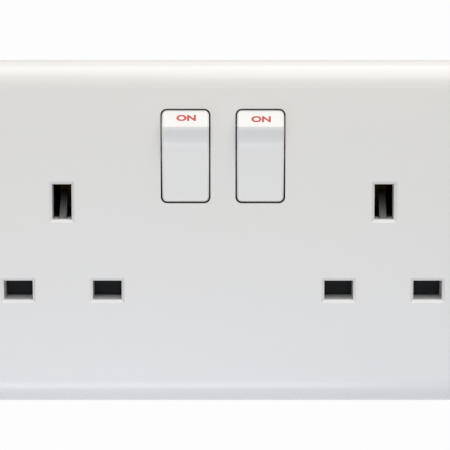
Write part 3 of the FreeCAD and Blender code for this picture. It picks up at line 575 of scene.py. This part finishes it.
def coil_spring(name, body, axis, radius, wire, turns):
    """Put a wound spring in a node's place; the axis points away from the seat that stays still."""
    axis, across = Vector(axis).normalized(), Vector((1, 0, 0))
    beside = axis.cross(across)
    spans = []
    for direction in (across, beside, axis):
        reach = [vertex.co.dot(direction) for vertex in nodes[name].data.vertices]
        spans.append((min(reach), max(reach)))
    foot = across * sum(spans[0]) / 2 + beside * sum(spans[1]) / 2 + axis * spans[2][0]
    length = spans[2][1] - spans[2][0]
    mesh = wound_wire(name, foot, (across, beside, axis), length, radius, wire, turns)
    piece = bpy.data.objects.new(f"{name}_wound", mesh)
    bpy.context.scene.collection.objects.link(piece)
    mesh.shade_smooth()
    mesh.materials.clear()
    mesh.materials.append(spring_steel)
    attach(piece, body)
    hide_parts(name)
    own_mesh(piece)
    return piece


for side in ("left", "right"):
    slide = f"{side}_plunger_slide"
    behind = [-part for part in JOINTS[slide]["axis"]]
    springs = [
        coil_spring(
            f"{side}_shutter_spring", "outlet", (0, 0, 1),
            radius=1.7, wire=0.5, turns=5,
        ),
        coil_spring(
            f"{side}_plunger_spring", f"{side}_switch", behind, radius=1.2, wire=0.4, turns=4
        ),
    ]
    print(side, "springs:", [[round(size / MM, 2) for size in piece.dimensions] for piece in springs], "mm")

# %% [markdown]
# ## A driver's blades
# From behind, an electrician sees the screws: plated assembly screws with a cross recess at the bottom of
# their wells, and brass clamp screws with a plain slot in the cable bays. A recess has the form of the
# driver that fits it. So the driver's blades are made first, as boxes that taper with depth, at the rear
# end of each screw.

# %% A driver's blades
# Width of a blade's tip as a share of its width above
TAPER = 0.6


def rear_end(points):
    """Give the middle of a screw's rear end and its radius."""
    low_x, high_x = min(point.x for point in points), max(point.x for point in points)
    low_z, high_z = min(point.z for point in points), max(point.z for point in points)
    rear = max(point.y for point in points)
    return Vector(((low_x + high_x) / 2, rear, (low_z + high_z) / 2)), (high_x - low_x) / 2


def driver_blades(screws, turns, reach, width, depth):
    """Make tapered blades at some turns about each screw's axis; reach is in radii, width and depth in mm."""
    blades = bmesh.new()
    for points in screws:
        end, radius = rear_end(points)
        for turn in turns:
            size = Matrix.Diagonal((2 * reach * radius, 2 * depth * MM, width * MM, 1.0))
            about = Matrix.Rotation(math.radians(turn), 4, "Y")
            place = Matrix.Translation(end) @ about @ size
            made = bmesh.ops.create_cube(blades, size=1, matrix=place)["verts"]
            for corner in made:
                if corner.co.y < end.y:
                    corner.co.x = end.x + (corner.co.x - end.x) * TAPER
                    corner.co.z = end.z + (corner.co.z - end.z) * TAPER
    mesh = bpy.data.meshes.new("blades")
    blades.to_mesh(mesh)
    blades.free()
    return mesh


print("blades: taper to", TAPER, "of their width")

# %% [markdown]
# ## Screw drives
# Such small cuts don't belong in the solids. An inset face could be pushed in by hand, but a boolean cut
# suits any number of screws: each screw node is copied, its split edges are welded, and the blades are cut
# out of the end that faces the rear. The copy then stands for the node.

# %% Screw drives
def cut_drive(name, screws, turns, reach, width, depth):
    """Copy a screw node and cut a driver's blades into the rear end of each of its screws."""
    shape = bmesh.new()
    shape.from_mesh(nodes[name].data)
    bmesh.ops.remove_doubles(shape, verts=shape.verts, dist=0.001 * MM)
    body = bpy.data.meshes.new(f"{name}_driven")
    shape.to_mesh(body)
    shape.free()
    piece = bpy.data.objects.new(f"{name}_driven", body)
    cutter = bpy.data.objects.new("blades", driver_blades(screws, turns, reach, width, depth))
    for thing in (piece, cutter):
        bpy.context.scene.collection.objects.link(thing)
    cut = piece.modifiers.new("drive", "BOOLEAN")
    cut.operation, cut.object, cut.solver, cut.use_self = "DIFFERENCE", cutter, "EXACT", True
    piece.data = shown_mesh(piece)
    piece.modifiers.clear()
    bpy.data.objects.remove(cutter)
    piece.data.shade_smooth()
    piece.data.set_sharp_from_angle(angle=math.radians(30))
    piece.data.materials.clear()
    piece.data.materials.append(METAL_OF[name])
    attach(piece, "outlet")
    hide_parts(name)
    return piece


# The four assembly screws are one node, one screw in each quarter of the plate
quarters = {}
for vertex in nodes["assembly_screws"].data.vertices:
    quarters.setdefault((vertex.co.x > 0, vertex.co.z > 0), []).append(vertex.co)
driven = [
    cut_drive(
        "assembly_screws", quarters.values(), turns=(0, 90), reach=0.6, width=0.9, depth=1.2
    )
]
for name in ("live_terminal_screw", "neutral_terminal_screw", "earth_terminal_screw"):
    points = [vertex.co for vertex in nodes[name].data.vertices]
    driven.append(
        cut_drive(name, [points], turns=(20,), reach=1.1, width=0.7, depth=0.7)
    )
print("drives:", {piece.name: len(piece.data.polygons) for piece in driven})

# %% [markdown]
# ## Floor
# A wall socket has no foot, so it is held in the air above a floor of cool grey paper. Light that comes back
# from the floor keeps the lower edge from going dark. Brighter lamps would turn the floor white, but the
# plate would clip. So, seen by the camera or in a reflection, the floor mostly glows in the white of the
# backdrop, and it keeps a trace of the part's soft shadow.

# %% Floor
FLOOR_DROP = 200 * MM
FLOOR_SIZE = 30
# How much of the floor's look is plain white
WHITE_SHARE = 0.97
bpy.ops.mesh.primitive_plane_add(size=FLOOR_SIZE, location=(0, 0, cad_box[0][2] - FLOOR_DROP))
floor = bpy.context.object
floor.name = "floor"
paper, tree, shader = start_material("paper_floor_matt")
shader.inputs["Base Color"].default_value = linear("#B9BDC3")
shader.inputs["Roughness"].default_value = 0.9
rays = add_node(tree, "ShaderNodeLightPath", {})
seen = add_node(
    tree, "ShaderNodeMath",
    {0: rays.outputs["Is Camera Ray"], 1: rays.outputs["Is Glossy Ray"]}, operation="MAXIMUM",
)
seen_through = add_node(
    tree, "ShaderNodeMath",
    {0: seen.outputs["Value"], 1: rays.outputs["Is Transmission Ray"]}, operation="MAXIMUM",
)
share = add_node(
    tree, "ShaderNodeMath", {0: seen_through.outputs["Value"], 1: WHITE_SHARE}, operation="MULTIPLY"
)
white = add_node(tree, "ShaderNodeEmission", {"Color": (1, 1, 1, 1), "Strength": 1.0})
blend = add_node(tree, "ShaderNodeMixShader", {"Fac": share.outputs["Value"], 2: white.outputs["Emission"]})
tree.links.new(shader.outputs["BSDF"], blend.inputs[1])
tree.links.new(blend.outputs["Shader"], tree.nodes["Material Output"].inputs["Surface"])
floor.data.materials.append(paper)
print("floor at", round(floor.location.z / MM, 2), "mm")

# %% [markdown]
# ## Backdrop
# The white backdrop of the photograph could be a sheet behind the part, but it would stand in the way of
# views from behind. Here it is the world: white to the camera, and weaker as a light, so that the pale
# plastic doesn't clip.

# %% Backdrop
# How strongly the white world lights the part
SKY_LEVEL = 0.60
world = bpy.data.worlds.new("studio")
bpy.context.scene.world = world
world.use_nodes = True
sky = world.node_tree
rays = add_node(sky, "ShaderNodeLightPath", {})
level = add_node(
    sky, "ShaderNodeMapRange", {"Value": rays.outputs["Is Camera Ray"], "To Min": SKY_LEVEL, "To Max": 1.0}
)
backdrop = sky.nodes["Background"]
backdrop.inputs["Color"].default_value = linear("#FFFFFF")
sky.links.new(level.outputs["Result"], backdrop.inputs["Strength"])
print("backdrop: lights at", SKY_LEVEL)

# %% [markdown]
# ## Lamps
# A broad warm panel overhead, a little in front, is the key: it whitens the upper edge, the lower bevels of
# the slots and the rockers' bands, and leaves the hollows below the crests in soft shade. A wide, weaker
# panel in front, above and to the right, fills the face. A small cool panel low in front gives the lower
# edge its highlight, which is strongest at the left. Point lamps would be quicker to render, but would draw
# hard shadows in the slots.

# %% Lamps
def panel(name, place, aim, width, height, watts, colour):
    """Hang a soft rectangular lamp that looks at a point."""
    lamp = bpy.data.lights.new(name, "AREA")
    lamp.shape = "RECTANGLE"
    lamp.size, lamp.size_y = width, height
    lamp.energy = watts
    lamp.color = linear(colour)[:3]
    held = bpy.data.objects.new(name, lamp)
    held.location = place
    held.rotation_euler = (Vector(aim) - Vector(place)).to_track_quat("-Z", "Y").to_euler()
    held.visible_camera = False
    bpy.context.scene.collection.objects.link(held)
    return held


# Places, aims and sizes are in metres
key = panel(
    "key_panel", (0.08, -0.15, 0.79), (0, 0, 0),
    width=0.6, height=0.9, watts=3.9, colour="#FFFDF8",
)
fill = panel(
    "fill_panel", (0.20, -0.90, 0.40), (0, 0, 0),
    width=1.6, height=1.0, watts=1.9, colour="#FFFEFB",
)
under = panel(
    "under_panel", (-0.045, -0.166, -0.181), (-0.02, -0.003, -0.039),
    width=0.20, height=0.10, watts=0.165, colour="#F4F7FF",
)
print("lamps:", key.name, fill.name, under.name)

# %% [markdown]
# ## Camera
# The photograph looks at the plate from straight in front and about 8 degrees above, from about half a
# metre, and crops both ends. The image is 112 mm wide at the plate's front face, which fixes the lens for
# that distance.

# %% Camera
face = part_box("face_plate")[0][1]
# The middle of the photograph lies a little right of the plate's middle, and a little above it
aim = Vector((0.5 * MM, face, 2.7 * MM))
elevation, distance, frame_width = math.radians(8), 0.525, 0.1117
lens = bpy.data.cameras.new("camera")
lens.sensor_width = 36
lens.lens = lens.sensor_width * distance / frame_width
camera = bpy.data.objects.new("camera", lens)
camera.location = aim + Vector((0, -math.cos(elevation), math.sin(elevation))) * distance
camera.rotation_euler = (aim - camera.location).to_track_quat("-Z", "Y").to_euler()
bpy.context.scene.collection.objects.link(camera)
bpy.context.scene.camera = camera
bpy.context.scene.view_settings.view_transform = "Standard"
print("lens:", round(lens.lens, 1), "mm")
